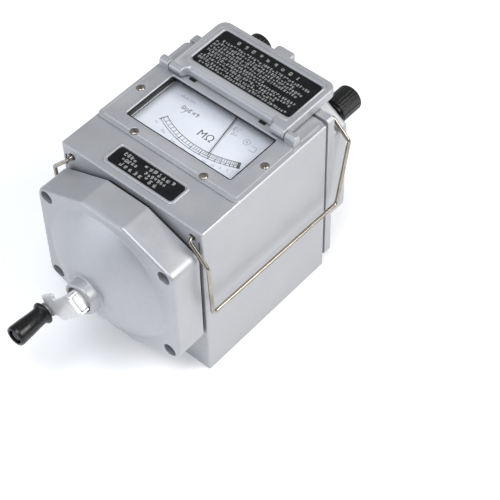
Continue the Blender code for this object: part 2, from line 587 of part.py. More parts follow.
def generator():
    core = place("stator_core", blank_box((-31, 31), (44, 74), (IDLER_Z - 20, 96)), "magnet")
    cut(core, rod(ROTOR_X, ROTOR_Z, 17, 40, 80, 32), blank_box((-14.5, 14.5), (40, 80), (75.5, 87)))
    for side in (-1, 1):
        fuse(core, blank_box(sorted((side * 23, side * 31)), (50, 68), (WALL + GAP, 33)))
    coil = place("generator_coil", blank_box((-14, 14), (38, 80), (76, 106.5)), "copper")
    cut(coil, blank_box((-15, 15), (43.6, 74.4), (86.6, 96.4)))
    magnet = place("rotor_magnet", rod(ROTOR_X, ROTOR_Z, 16, 42, 76, 32), "magnet", ROTOR_AXIS)
    cut(magnet, rod(ROTOR_X, ROTOR_Z, 3.3, 40, 80, 20))
    profile = [(3.3, 79), (13, 79), (13, 83), (9, 84), (7, 88), (3.3, 88)]
    place("governor", turned(profile, ROTOR_X, ROTOR_Z, 24), "brass", ROTOR_AXIS)
    bracket = place("bearing_bracket", blank_box((-18, 18), (90, 92), (WALL + GAP, 66)), "steel")
    fuse(bracket, blank_box((-18, 18), (91, 103), (WALL + GAP, WALL + GAP + 2)))
    cut(bracket, rod(ROTOR_X, ROTOR_Z, 3.3, 85, 100, 20))


def electronics():
    board = place("circuit_board", blank_box((-51.7, -50.1), (36, 98), (24, 100)), "board")
    for z in (40, 60, 80):
        fuse(board, blank_box((-50.5, -47), (44, 62), (z - 5, z + 5)))
    place("capacitor", upright(-40.5, 82, 9, 34, 74, 24), "capacitor")


# ---------------------------------------------------------------- terminals and bails

def terminal(name, x, z):
    """Insulating base, threaded stud, contact washer and screw-down knob of one terminal."""
    axis = (x, FRONT + HOUSING_Y, z)
    base = [(2.8, HOUSING_Y + GAP), (9.8, HOUSING_Y + GAP), (9.8, 146.6), (8.2, 147.8), (2.8, 147.8)]
    place(f"{name}_terminal_base", turned(base, x, z, 24), "bakelite")
    place(f"{name}_terminal_stud", rod(x, z, 2.5, 136, 165.5, 14), "brass")
    washer = [(2.8, 148.1), (7.4, 148.1), (7.4, 149.5), (2.8, 149.5)]
    place(f"{name}_terminal_washer", turned(washer, x, z, 16), "chrome", axis)
    knob = [(2.8, 149.8), (8.6, 149.8), (9.6, 151.0), (9.6, KNOB_END - 1.6), (8.4, KNOB_END - 0.4),
            (6.6, KNOB_END), (0, KNOB_END), (0, KNOB_END - 2.0), (2.8, KNOB_END - 2.0)]
    place(f"{name}_terminal_knob", turned(knob, x, z, 24), "bakelite", axis)


def bail(name, side):
    """Chromed wire handle on one side: pivot ends, arms and the long run between them."""
    route = [(BAIL_X, 3.0, BAIL_Z), (BAIL_X, -2.9, BAIL_Z), (66.4, -2.9, 115.0), (66.8, -1.2, 69.5),
             (66.8, 123.0, 66.0), (66.4, 134.4, 117.5), (BAIL_X, 134.4, BAIL_Z), (BAIL_X, 123.5, BAIL_Z)]
    route = [Vector((side * x, FRONT + y, z)) for x, y, z in route]
    points = [route[0]]
    for before, corner, after in zip(route, route[1:], route[2:]):
        points += arc_corner(before, corner, after, 3.2, 4)
    points.append(route[-1])
    pivot = route[1]
    curve = bpy.data.curves.new(name, "CURVE")
    curve.dimensions = "3D"
    curve.bevel_depth = 1.4 * MM
    curve.bevel_resolution = 2
    curve.use_fill_caps = True
    spline = curve.splines.new("POLY")
    spline.points.add(len(points) - 1)
    for target, point in zip(spline.points, points):
        target.co = (*((point - pivot) * MM), 1.0)
    wire = bpy.data.objects.new(name, curve)
    wire.location = pivot * MM
    curve.materials.append(material("chrome"))
    bpy.context.scene.collection.objects.link(wire)


def build():
    clear_scene()
    main_case()
    front_cover()
    rear_cover()
    cover_screws()
    meter_panel()
    panel_screws()
    nameplate()
    lid()
    window()
    meter_tray()
    meter_movement()
    crank_shaft()
    crank_hub()
    crank_arm()
    grip()
    gear_train()
    gear_frame()
    generator()
    electronics()
    for name, (x, z) in TERMINALS.items():
        terminal(name, x, z)
    bail("bail_left", -1)
    bail("bail_right", 1)


build()
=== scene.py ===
"""Looks of the hand-cranked insulation resistance tester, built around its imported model.

Lengths are millimetres, and y runs from the case's front face, until piece() turns a mesh
into an object in metres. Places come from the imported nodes' boxes and joints.
"""
import json
import random
from math import atan2, cos, pi, radians, sin, tan

import bmesh
import bpy
from mathutils import Matrix, Vector


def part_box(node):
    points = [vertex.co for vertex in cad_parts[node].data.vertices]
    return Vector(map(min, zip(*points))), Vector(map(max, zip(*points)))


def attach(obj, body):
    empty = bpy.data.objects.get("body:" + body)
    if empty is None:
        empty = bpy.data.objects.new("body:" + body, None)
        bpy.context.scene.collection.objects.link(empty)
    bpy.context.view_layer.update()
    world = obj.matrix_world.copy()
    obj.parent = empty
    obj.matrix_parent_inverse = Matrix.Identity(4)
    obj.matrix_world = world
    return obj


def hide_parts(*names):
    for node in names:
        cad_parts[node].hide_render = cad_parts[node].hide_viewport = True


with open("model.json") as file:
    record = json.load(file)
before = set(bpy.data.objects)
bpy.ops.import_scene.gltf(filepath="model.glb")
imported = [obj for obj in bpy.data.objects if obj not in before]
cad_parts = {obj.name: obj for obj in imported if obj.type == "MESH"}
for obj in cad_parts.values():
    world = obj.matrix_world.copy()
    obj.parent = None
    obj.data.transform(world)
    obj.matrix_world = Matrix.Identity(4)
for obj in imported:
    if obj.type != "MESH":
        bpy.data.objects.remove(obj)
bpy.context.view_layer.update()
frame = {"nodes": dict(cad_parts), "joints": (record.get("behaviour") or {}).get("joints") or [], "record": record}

MM = 0.001
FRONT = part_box("main_case")[0][1] / MM
JOINTS = {joint["name"]: joint for joint in frame["joints"]}


def span(node):
    """Lowest and highest corner of a CAD node."""
    low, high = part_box(node)
    return [Vector((c[0] / MM, c[1] / MM - FRONT, c[2] / MM)) for c in (low, high)]


def joint_point(name):
    x, y, z = JOINTS[name]["pos_m"]
    return Vector((x / MM, y / MM - FRONT, z / MM))


case_high = span("main_case")[1]
panel_low, panel_high = span("meter_panel")
lid_low, lid_high = span("lid")
rear_high = span("rear_cover")[1]
dial_high = span("dial_plate")[1]
HALF_W, CASE_L, CASE_H = case_high.x, case_high.y, 140.0
AXIS_Z = joint_point("crank_turn").z
HINGE_Y, HINGE_Z = joint_point("lid_hinge").yz
PIVOT = joint_point("pointer_swing")
ARM_ANGLE = atan2(JOINTS["arm_fold"]["axis"][0], -JOINTS["arm_fold"]["axis"][2])
WINDOW = (-44.5, 44.5, 43.5, 88.0)     # x and y limits of the panel's opening
PANEL_STEP, PANEL_TOP = 141.3, 142.0   # heights of the panel's thin rim and raised field
WALL, ROOF = 3.5, 2.5                  # thickness of the case's sides and of its top
COVER_FACE, COVER_REAR = -26.3, -2.3   # flat front and rear of the gear cover
SCREW_X, SCREW_Z = 50.5, 37.3          # gear cover screws, from the crank axis
BAIL_X, BAIL_Z = 51.4, 131.5           # pivots of the wire handles
BAIL_WIRE = 1.4                        # radius of that wire
WEB_BACK, WEB_FRONT = -60.0, -62.0     # y of the crank arm's two faces
PIN_HOLE = 1.3                         # radius of the fold pin's holes


def on_arm(point):
    """A point's place along the crank arm, across it, and out of the case's front face."""
    x, z = point.x, point.z - AXIS_Z
    return x * cos(ARM_ANGLE) + z * sin(ARM_ANGLE), z * cos(ARM_ANGLE) - x * sin(ARM_ANGLE), -point.y


FOLD_U, _, FOLD_OUT = on_arm(joint_point("arm_fold"))
GRIP_U, GRIP_W, _ = on_arm(joint_point("grip_spin"))


# ---------------------------------------------------------------- materials

def node_tree(name):
    made = bpy.data.materials.new(name)
    made.use_nodes = True
    return made, made.node_tree.nodes, made.node_tree.links


def noise(nodes, links, where, scale, detail=3.0, rough=0.55):
    texture = nodes.new("ShaderNodeTexNoise")
    texture.inputs["Scale"].default_value = scale
    texture.inputs["Detail"].default_value = detail
    texture.inputs["Roughness"].default_value = rough
    links.new(where, texture.inputs["Vector"])
    return texture.outputs["Fac"]


def ranged(nodes, links, value, low, high, start=0.3, stop=0.7):
    """Spread a texture's middle range over low to high."""
    step = nodes.new("ShaderNodeMapRange")
    step.inputs["From Min"].default_value = start
    step.inputs["From Max"].default_value = stop
    step.inputs["To Min"].default_value = low
    step.inputs["To Max"].default_value = high
    links.new(value, step.inputs["Value"])
    return step.outputs["Result"]


def mixed(nodes, links, factor, dark, light):
    """Colour between two values or sockets."""
    mix = nodes.new("ShaderNodeMix")
    mix.data_type = "RGBA"
    links.new(factor, mix.inputs["Factor"])
    for socket, colour in (("A", dark), ("B", light)):
        target = [s for s in mix.inputs if s.name == socket and s.type == "RGBA"][0]
        if isinstance(colour, tuple):
            target.default_value = (*colour, 1.0)
        else:
            links.new(colour, target)
    return [s for s in mix.outputs if s.type == "RGBA"][0]


def surface(name, dark, light, roughness, metallic=0.0, patch=60.0, grain=900.0, relief=0.02,
            uneven=0.05, stretch=(1, 1, 1), **sockets):
    """Principled material: patchy colour, uneven roughness and a fine relief, all from noise."""
    made, nodes, links = node_tree(name)
    shader = nodes["Principled BSDF"]
    shader.inputs["Metallic"].default_value = metallic
    for socket, value in sockets.items():
        shader.inputs[socket.replace("_", " ")].default_value = value
    coords = nodes.new("ShaderNodeTexCoord")
    mapping = nodes.new("ShaderNodeMapping")
    mapping.inputs["Scale"].default_value = stretch
    links.new(coords.outputs["Object"], mapping.inputs["Vector"])
    where = mapping.outputs["Vector"]
    wide = noise(nodes, links, where, patch)
    fine = noise(nodes, links, where, grain, 2.0)
    colour = mixed(nodes, links, ranged(nodes, links, wide, 0, 1), dark, light)
    links.new(colour, shader.inputs["Base Color"])
    shine = ranged(nodes, links, wide, roughness - uneven, roughness + uneven)
    links.new(shine, shader.inputs["Roughness"])
    bump = nodes.new("ShaderNodeBump")
    bump.inputs["Strength"].default_value = 0.5
    bump.inputs["Distance"].default_value = relief * MM
    links.new(fine, bump.inputs["Height"])
    links.new(bump.outputs["Normal"], shader.inputs["Normal"])
    return made, nodes, links, where, colour


def casting_look():
    """Satin silver paint: a fine metallic sparkle over slow shade changes, with a painted highlight that lightens
    sharp edges.
    """
    made, nodes, links, where, colour = surface(
        "silver_paint", (0.39, 0.395, 0.41), (0.435, 0.44, 0.45), 0.40, metallic=0.45, patch=35.0,
        grain=650.0, relief=0.018, uneven=0.05)
    shader = nodes["Principled BSDF"]
    sparkle = ranged(nodes, links, noise(nodes, links, where, 2600.0, 1.0), 0.0, 0.55, 0.55, 0.75)
    flecked = mixed(nodes, links, sparkle, colour, (0.62, 0.63, 0.64))
    # painted highlight: the base colour is lightened towards (0.74, 0.74, 0.75) on sharp convex edges
    geometry = nodes.new("ShaderNodeNewGeometry")
    edge = ranged(nodes, links, geometry.outputs["Pointiness"], 0.0, 0.45, 0.53, 0.62)
    links.new(mixed(nodes, links, edge, flecked, (0.74, 0.74, 0.75)), shader.inputs["Base Color"])
    return made


def simple(*arguments, **keywords):
    return surface(*arguments, **keywords)[0]


LOOKS = {
    "casting": casting_look(),
    "black_plate": simple("black_enamel", (0.004, 0.004, 0.005), (0.008, 0.008, 0.009), 0.42, patch=120.0,
                          relief=0.006, uneven=0.06, Specular_IOR_Level=0.25),
    "bakelite": simple("black_bakelite", (0.004, 0.004, 0.004), (0.009, 0.009, 0.009), 0.26, patch=160.0,
                       grain=1400.0, relief=0.01, uneven=0.07, Specular_IOR_Level=0.40),
    "chrome": simple("bright_plate", (0.25, 0.225, 0.19), (0.40, 0.37, 0.32), 0.22, metallic=1.0, patch=90.0,
                     grain=700.0, relief=0.01, uneven=0.05),
    "nickel": simple("satin_nickel", (0.60, 0.60, 0.595), (0.70, 0.70, 0.69), 0.34, metallic=0.35,
                     patch=120.0, grain=1500.0, relief=0.02, uneven=0.08),
    "steel": simple("zinc_steel", (0.50, 0.50, 0.50), (0.60, 0.60, 0.59), 0.30, metallic=1.0, patch=150.0,
                    grain=900.0, relief=0.02, uneven=0.08, stretch=(1, 0.15, 1)),
    "brass": simple("turned_brass", (0.50, 0.35, 0.14), (0.64, 0.47, 0.20), 0.30, metallic=1.0, patch=150.0,
                    grain=1200.0, relief=0.015, uneven=0.07),
    "screw": simple("warm_screw", (0.26, 0.235, 0.20), (0.46, 0.43, 0.38), 0.32, metallic=1.0, patch=400.0,
                    grain=1500.0, relief=0.02, uneven=0.08),
    "copper": simple("winding", (0.42, 0.17, 0.07), (0.60, 0.28, 0.12), 0.35, metallic=1.0, patch=90.0,
                     grain=1600.0, relief=0.12, uneven=0.06, stretch=(1, 6, 6)),
    "white_card": simple("scale_white", (0.66, 0.69, 0.75), (0.74, 0.77, 0.82), 0.45, patch=30.0,
                         grain=1800.0, relief=0.004, uneven=0.04),
    "glass": simple("window_glass", (0.90, 0.94, 0.94), (0.94, 0.97, 0.97), 0.03, patch=20.0, grain=40.0,
                    relief=0.002, uneven=0.01, Alpha=0.05),
    "magnet": simple("dark_alloy", (0.05, 0.05, 0.055), (0.10, 0.10, 0.11), 0.50, metallic=0.5, patch=120.0,
                     relief=0.05, uneven=0.08),
    "board": simple("green_board", (0.02, 0.13, 0.06), (0.03, 0.19, 0.09), 0.45, patch=160.0, relief=0.03),
    "capacitor": simple("blue_sleeve", (0.03, 0.06, 0.22), (0.05, 0.10, 0.30), 0.35, patch=80.0),
}
FINISHES = {
    # painted reflection: a near-white base colour with little metal stands in for the chrome hub's bright
    # reflection
    "hub_painted_reflection": simple("hub_painted_reflection", (0.82, 0.82, 0.80), (0.90, 0.90, 0.88), 0.30, metallic=0.15,
                           patch=120.0, grain=1500.0, relief=0.01),
    "white_ink": simple("white_ink", (0.34, 0.34, 0.33), (0.46, 0.46, 0.45), 0.5, patch=700.0, relief=0.01),
    "black_ink": simple("black_ink", (0.012, 0.012, 0.016), (0.03, 0.03, 0.035), 0.5, patch=500.0,
                        relief=0.004),
    "grey_ink": simple("grey_ink", (0.26, 0.28, 0.33), (0.34, 0.36, 0.41), 0.5, patch=500.0, relief=0.004),
}


# ---------------------------------------------------------------- mesh helpers

def skin(rings, around=False):
    """Skin between closed loops of equally many points, with flat ends or joined round."""
    bm = bmesh.new()
    made = [[bm.verts.new(point) for point in ring] for ring in rings]
    pairs = list(zip(made, made[1:])) + ([(made[-1], made[0])] if around else [])
    count = len(made[0])
    for low, high in pairs:
        for i in range(count):
            j = (i + 1) % count
            bm.faces.new((low[i], low[j], high[j], high[i]))
    if not around:
        bm.faces.new(made[0])
        bm.faces.new(list(reversed(made[-1])))
    return bm


def filleted(corners, radii, steps=6):
    """Closed outline with each corner rounded by its own radius; zero keeps the corner."""
    if not isinstance(radii, (list, tuple)):
        radii = [radii] * len(corners)
    points = []
    around = zip(corners[-1:] + corners[:-1], corners, corners[1:] + corners[:1], radii)
    for before, corner, after, radius in around:
        before, corner, after = Vector(before), Vector(corner), Vector(after)
        if not radius:
            points.append(tuple(corner))
            continue
        points += [tuple(p) for p in arc_corner(before, corner, after, radius, steps)]
    return points


def arc_corner(before, corner, after, radius, steps):
    """Points of a fillet at a corner, in two or three dimensions."""
    back, ahead = (before - corner).normalized(), (after - corner).normalized()
    half = back.angle(ahead) / 2
    centre = corner + (back + ahead).normalized() * (radius / sin(half))
    start = (corner + back * (radius / tan(half)) - centre).normalized()
    end = (corner + ahead * (radius / tan(half)) - centre).normalized()
    return [centre + start.slerp(end, i / steps) * radius for i in range(steps + 1)]


def inset(outline, distance):
    """Move each corner of a closed outline inwards, keeping its sides parallel."""
    turn = winding(outline)
    moved_points = []
    for before, point, after in zip(outline[-1:] + outline[:-1], outline, outline[1:] + outline[:1]):
        a = (Vector(point) - Vector(before)).normalized()
        b = (Vector(after) - Vector(point)).normalized()
        normal = Vector((-(a + b).y, (a + b).x)).normalized() * turn
        share = max(0.5, normal.dot(Vector((-a.y, a.x)) * turn))
        moved_points.append(tuple(Vector(point) + normal * (distance / share)))
    return moved_points


def outline_at(shape, distance=0.0, steps=6):
    """Rounded outline of (corners, radii), moved inwards; its fillets stay concentric."""
    corners, radii = shape
    inner = inset(corners, distance)
    turned = []
    neighbours = zip(corners[-1:] + corners[:-1], corners, corners[1:] + corners[:1], radii)
    for before, corner, after, radius in neighbours:
        a, b = Vector(corner) - Vector(before), Vector(after) - Vector(corner)
        outside = a.cross(b) * winding(corners) > 0
        turned.append(max(0.05, radius - distance if outside else radius + distance) if radius else 0)
    return filleted(inner, turned, steps)


def winding(outline):
    area = sum(a[0] * b[1] - b[0] * a[1] for a, b in zip(outline, outline[1:] + outline[:1]))
    return 1 if area > 0 else -1


def rectangle(x0, x1, y0, y1, radius):
    return [(x0, y0), (x1, y0), (x1, y1), (x0, y1)], [radius] * 4


def edge_levels(low, high, low_r, high_r, steps=5):
    """(height, inset) pairs of a slab whose two rims are rounded."""
    turn = [pi / 2 * i / steps for i in range(steps + 1)]
    levels = [(low + low_r * (1 - cos(t)), low_r * (1 - sin(t))) for t in turn] if low_r else [(low, 0)]
    upper = [(high - high_r * (1 - cos(t)), high_r * (1 - sin(t))) for t in reversed(turn)]
    return levels + (upper if high_r else [(high, 0)])


def slab(shape, z0, z1, low_r=0.0, high_r=0.0, steps=6):
    """Plan shape extruded upwards with rounded rims."""
    levels = edge_levels(z0, z1, low_r, high_r)
    return skin([[(x, y, z) for x, y in outline_at(shape, d, steps)] for z, d in levels])


def plate(shape, y0, y1, low_r=0.0, high_r=0.0, steps=6):
    """Elevation shape extruded along Y with rounded rims."""
    levels = edge_levels(y0, y1, low_r, high_r)
    return skin([[(x, y, z) for x, z in outline_at(shape, d, steps)] for y, d in levels])


def block(x, y, z):
    return slab(rectangle(x[0], x[1], y[0], y[1], 0), z[0], z[1])


def lathe(profile, sides=96, ripple=None):
    """Turn a closed (radius, y) profile about Y; ripple changes a radius with the angle."""
    bm = bmesh.new()
    columns = []
    for radius, y in profile:
        if radius < 1e-6:
            columns.append([bm.verts.new((0, y, 0))] * sides)
            continue
        column = []
        for i in range(sides):
            angle = 2 * pi * i / sides
            r = ripple(radius, y, angle) if ripple else radius
            column.append(bm.verts.new((r * cos(angle), y, r * sin(angle))))
        columns.append(column)
    for near, far in zip(columns, columns[1:] + columns[:1]):
        for i in range(sides):
            j = (i + 1) % sides
            corners = list(dict.fromkeys((near[i], near[j], far[j], far[i])))
            if len(corners) > 2:
                bm.faces.new(corners)
    return bm


def moved(bm, x=0.0, y=0.0, z=0.0):
    bmesh.ops.translate(bm, vec=(x, y, z), verts=bm.verts)
    return bm


def along(bm, axis):
    """Turn a mesh drawn on the Y axis to lie along X or Z."""
    turn = Matrix.Rotation(-pi / 2, 3, "Z") if axis == "X" else Matrix.Rotation(pi / 2, 3, "X")
    bmesh.ops.rotate(bm, cent=(0, 0, 0), matrix=turn, verts=bm.verts)
    return bm


def tube(points, radius, sides=20):
    """Round wire along a smooth row of points, with rings carried on without twist."""
    rings, across = [], None
    for i, point in enumerate(points):
        ahead = (points[min(i + 1, len(points) - 1)] - points[max(i - 1, 0)]).normalized()
        across = ahead.orthogonal() if across is None else across - ahead * across.dot(ahead)
        across = across.normalized()
        up = ahead.cross(across)
        turns = [2 * pi * k / sides for k in range(sides)]
        rings.append([point + (across * cos(t) + up * sin(t)) * radius for t in turns])
    return skin(rings)


def rod(radius, y0, y1, sides=48, soft=0.0):
    profile = filleted([(0, y0), (radius, y0), (radius, y1), (0, y1)], [0, soft, soft, 0], 3)
    return lathe(profile, sides)


def temporary(bm):
    bmesh.ops.recalc_face_normals(bm, faces=bm.faces)
    mesh = bpy.data.meshes.new("temporary")
    bm.to_mesh(mesh)
    bm.free()
    thing = bpy.data.objects.new("temporary", mesh)
    bpy.context.scene.collection.objects.link(thing)
    return thing


def combined(bm, joins=(), cuts=()):
    """Boolean of a mesh with others joined to it and then cut from it."""
    base = temporary(bm)
    used = [base]
    for operation, group in (("UNION", joins), ("DIFFERENCE", cuts)):
        for tool_mesh in group:
            tool = temporary(tool_mesh)
            used.append(tool)
            step = base.modifiers.new(operation, "BOOLEAN")
            step.operation = operation
            step.solver = "EXACT"
            step.object = tool
    bpy.context.view_layer.update()
    result = bmesh.new()
    result.from_object(base, bpy.context.evaluated_depsgraph_get())
    for thing in used:
        bpy.data.objects.remove(thing, do_unlink=True)
    return result


def piece(name, bm, body, slot, replaces=(), look=None, sharp=40):
    """Turn a mesh in millimetres into a piece that rides on a body."""
    bmesh.ops.recalc_face_normals(bm, faces=bm.faces)
    bmesh.ops.translate(bm, vec=(0, FRONT, 0), verts=bm.verts)
    bmesh.ops.scale(bm, vec=(MM, MM, MM), verts=bm.verts)
    mesh = bpy.data.meshes.new(name)
    bm.to_mesh(mesh)
    bm.free()
    mesh.materials.append(look or LOOKS[slot])
    mesh.shade_smooth()
    mesh.set_sharp_from_angle(angle=radians(sharp))
    thing = bpy.data.objects.new(name, mesh)
    bpy.context.scene.collection.objects.link(thing)
    even = thing.modifiers.new("even_normals", "WEIGHTED_NORMAL")
    even.keep_sharp = True
    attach(thing, body)
    if replaces:
        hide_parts(*replaces)
    return thing


# ---------------------------------------------------------------- case and covers

def case_shell():
    """Cast case with rounded edges, the window opening and the raised nameplate frame."""
    outer = slab(rectangle(-HALF_W, HALF_W, 0, CASE_L, 1.4), 0, CASE_H, 0.9, 1.1)
    ceiling = CASE_H - ROOF
    shape = rectangle(-30, 30, 5, 24.5, 3.5)
    frame_rings = [(CASE_H - 1.0, 0.0), (CASE_H + 0.45, 0.0), (CASE_H + 0.8, 0.2), (CASE_H + 1.0, 0.7),
                   (CASE_H + 0.95, 1.5), (CASE_H + 0.6, 2.0), (CASE_H - 1.0, 2.1)]
    rim = skin([[(x, y, z) for x, y in outline_at(shape, d)] for z, d in frame_rings], around=True)
    cuts = [block((-HALF_W + WALL, HALF_W - WALL), (WALL, CASE_L + 1), (WALL, ceiling)),
            block((-47, 47), (41, 90.5), (CASE_H - 4, CASE_H + 2)),
            moved(rod(5.0, -1, 5), 0, 0, AXIS_Z)]
    for side in (-1, 1):
        hole = lathe([(0, -1), (3.1, -1), (3.1, 0), (2.5, 0.6), (2.5, WALL + 1), (0, WALL + 1)], 40)
        cuts.append(moved(hole, side * BAIL_X, 0, BAIL_Z))
        slit = sorted((side * 56.2, side * 57.6))
        cuts.append(block(slit, (-1, 1.6), (121.0, 131.0)))
    shell = combined(outer, [rim], cuts)
    piece("case_shell", shell, "root", "casting", ["main_case"])


def cover_shape():
    """Corners of the eight-sided cover, going round from its right side, with their fillets."""
    corners = [(58.7, -40.6), (58.7, 40.6), (17.3, 57.8), (-17.3, 57.8), (-58.7, 40.6), (-58.7, -40.6),
               (-17.3, -57.8), (17.3, -57.8)]
    return corners, [7.5, 7.5, 4.5, 4.5, 7.5, 7.5, 4.5, 4.5]


def filled(outline, counts):
    """Closed outline with each side split into its own number of steps."""
    dense = []
    for a, b, steps in zip(outline, outline[1:] + outline[:1], counts):
        dense += [Vector(a).lerp(Vector(b), i / steps) for i in range(steps)]
    return dense


def gear_cover():
    """Domed cover of the gears: spokes from the shaft bore to the eight-sided rim."""
    shape = cover_shape()
    face, rear = COVER_FACE, COVER_REAR
    fillet = 2.6
    base = outline_at(shape)
    counts = [1 + int((Vector(b) - Vector(a)).length / 2.2) for a, b in zip(base, base[1:] + base[:1])]
    spokes = [atan2(z, x) for x, z in filled(base, counts)]

    def rim(distance, y):
        return [(x, y, AXIS_Z + z) for x, z in filled(outline_at(shape, distance), counts)]

    def ring(radius, y):
        return [(radius * cos(a), y, AXIS_Z + radius * sin(a)) for a in spokes]

    profile = [(8.6, -39.5), (8.6, -49.7), (8.9, -50.0), (9.1, -50.0), (9.4, -50.3), (9.4, -52.5),
               (9.8, -53.0), (10.6, -53.0), (11.6, -52.7), (12.2, -52.1), (12.4, -51.3), (12.4, -45.8),
               (12.7, -45.3), (13.4, -45.0), (14.6, -44.9), (16.6, -44.6), (18.4, -44.15), (20.2, -43.5)]
    profile += [(r, dome_y(r, face)) for r in (22, 24, 26, 28.5, 31, 34, 37, 40, 43, 46, 48.5, 50.2)]
    profile += [(51.0, face - 0.12), (51.8, face)]
    rings = [ring(r, y) for r, y in profile]
    for i in range(1, 7):
        t = pi / 2 * i / 6
        rings.append(rim(fillet * (1 - sin(t)), face + fillet * (1 - cos(t))))
    rings += [rim(0, -14), rim(0, rear - 0.5), rim(0.15, rear - 0.15), rim(0.5, rear), rim(2.9, rear),
              rim(2.9, -0.3), rim(4.5, -0.3)]
    rings += [ring(r, y) for r, y in ((49.8, -0.3), (49.8, -22.5), (44, -27.5), (34, -33), (22, -37.5))]
    cover = skin(rings, around=True)
    cuts = []
    for sx in (-1, 1):
        for sz in (-1, 1):
            recess = [(0, face - 2), (5.3, face - 2), (5.3, face), (4.8, face + 0.5), (4.8, -9), (2.3, -9),
                      (2.3, 2), (0, 2)]
            cuts.append(moved(lathe(recess, 48), sx * SCREW_X, 0, AXIS_Z + sz * SCREW_Z))
    piece("gear_cover", combined(cover, [], cuts), "root", "casting", ["front_cover"], sharp=50)


def cover_seam_shade():
    """Black ring in the groove between the gear cover and the case: painted shade that darkens the seam."""
    shape = cover_shape()
    rings = [[(x, y, AXIS_Z + z) for x, z in outline_at(shape, d)]
             for y, d in ((-2.2, 2.2), (-2.2, 4.3), (-0.05, 4.3), (-0.05, 2.2))]
    piece("cover_seam_shade", skin(rings, around=True), "root", "bakelite")


def dome_y(radius, face):
    return face - 17.3 * ((51.0 - radius) / 31.0) ** 0.82


def terminal_housing():
    """Rear cover: a flange with the eight-sided terminal housing, its lug and bail bosses."""
    flange = ([(-60, 10), (-55, 5), (55, 5), (60, 10), (60, 140), (58, 142), (-58, 142), (-60, 140)],
              [2.0, 2.0, 2.0, 2.0, 1.2, 1.2, 1.2, 1.2])
    housing = ([(58.7, 43), (58.7, 121.3), (30, 139.8), (-30, 139.8), (-58.7, 121.3), (-58.7, 43),
                (-20, 24), (20, 24)], [5.0] * 8)
    lug = rectangle(-7.5, 7.5, 141.5, 151.5, 2.6)
    lid_end = lid_high.y + 0.5
    joins = [plate(housing, 126.0, 143.0, 0.0, 2.4, 8),
             plate(rectangle(-57.5, 57.5, 8, 137, 1.0), 119.3, 121.5),
             slab(lug, 126, rear_high.z, 0.0, 1.6, 8)]
    for side in (-1, 1):
        joins.append(moved(rod(4.5, 126, 131.5, 40, 0.6), side * BAIL_X, 0, BAIL_Z))
    cuts = [block((-9, 9), (CASE_L, lid_end), (panel_high.z + 0.3, lid_high.z))]
    for side in (-1, 1):
        cuts.append(moved(rod(1.75, 122.5, 133, 32), side * BAIL_X, 0, BAIL_Z))
        for z in (52.0, 98.0):
            recess = [(0, 131), (3.8, 131), (3.8, 142.5), (4.3, 143.1), (4.3, 145), (0, 145)]
            cuts.append(moved(lathe(recess, 40), side * 52.0, 0, z))
    cover = combined(plate(flange, 120.5, 127.0, 0.6, 0.9), joins, cuts)
    piece("terminal_housing", cover, "root", "casting", ["rear_cover"], sharp=45)


def slotted_screw(name, node, head_r, head_y, out, slot_width, slot):
    """A pan-head screw along Y whose domed head has a turned slot."""
    low, high = span(node)
    x, z = (low.x + high.x) / 2, (low.z + high.z) / 2
    tip = high.y if out < 0 else low.y
    head = [(0, tip), (2.0, tip), (2.0, head_y), (head_r, head_y), (head_r, head_y + out * 1.2),
            (head_r * 0.72, head_y + out * 2.1), (head_r * 0.35, head_y + out * 2.4), (0, head_y + out * 2.4)]
    screw = moved(lathe(filleted(head, [0, 0.3, 0, 0.3, 0.4, 0.8, 0, 0], 3), 48), x, 0, z)
    groove = sorted((head_y + out * 1.2, head_y + out * 4))
    cut = block((-slot_width, slot_width), groove, (-6, 6))
    turn = Matrix.Rotation(radians(37 * (x + z)), 3, "Y")
    bmesh.ops.rotate(cut, cent=(0, 0, 0), matrix=turn, verts=cut.verts)
    piece(name, combined(screw, [], [moved(cut, x, 0, z)]), "root", slot, [node])


def cover_screws():
    for number in range(1, 5):
        slotted_screw(f"cover_screw_{number}", f"front_screw_{number}", 3.9, -9.3, -1, 0.5, "steel")
        slotted_screw(f"housing_screw_{number}", f"rear_screw_{number}", 3.3, 131.3, 1, 0.45, "steel")


# ---------------------------------------------------------------- panel, window and meter

def panel_screw_places():
    places = []
    for number in range(1, 5):
        low, high = span(f"panel_screw_{number}")
        places.append(((low.x + high.x) / 2, (low.y + high.y) / 2))
    return places


def top_panel():
    """Meter panel: a thin plate with a raised field, a chamfered window and hinge ears."""
    base, step, top = panel_low.z, PANEL_STEP, PANEL_TOP
    outer = rectangle(panel_low.x, panel_high.x, panel_low.y, panel_high.y, 4.2)
    opening = rectangle(*WINDOW, 1.5)

    def level(shape, z, distance=0.0):
        return [(x, y, z) for x, y in outline_at(shape, distance)]

    rings = [level(outer, base), level(outer, step - 0.25), level(outer, step - 0.07, 0.07),
             level(outer, step, 0.25), level(outer, step, 2.9), level(outer, step + 0.06, 3.05),
             level(outer, top - 0.25, 3.25), level(outer, top - 0.07, 3.35), level(outer, top, 3.6),
             level(opening, top, -0.9), level(opening, top - 0.15, -0.45), level(opening, top - 0.8, 0.0),
             level(opening, base, 0.0)]
    plate_mesh = skin(rings, around=True)
    joins = []
    for side in (-1, 1):
        joins.append(hinge_ear(sorted((side * 49.3, side * 57.6))))
    cuts = []
    for x, y in panel_screw_places():
        hollow = [(0, -3), (1.8, -3), (1.8, 0), (3.1, 0.15), (3.1, 0.7), (3.6, 1.05), (3.6, 2), (0, 2)]
        sink = along(lathe(hollow, 48), "Z")
        cuts.append(moved(sink, x, y, top - 0.9))
    piece("top_panel", combined(plate_mesh, joins, cuts), "root", "casting", ["meter_panel"], sharp=45)


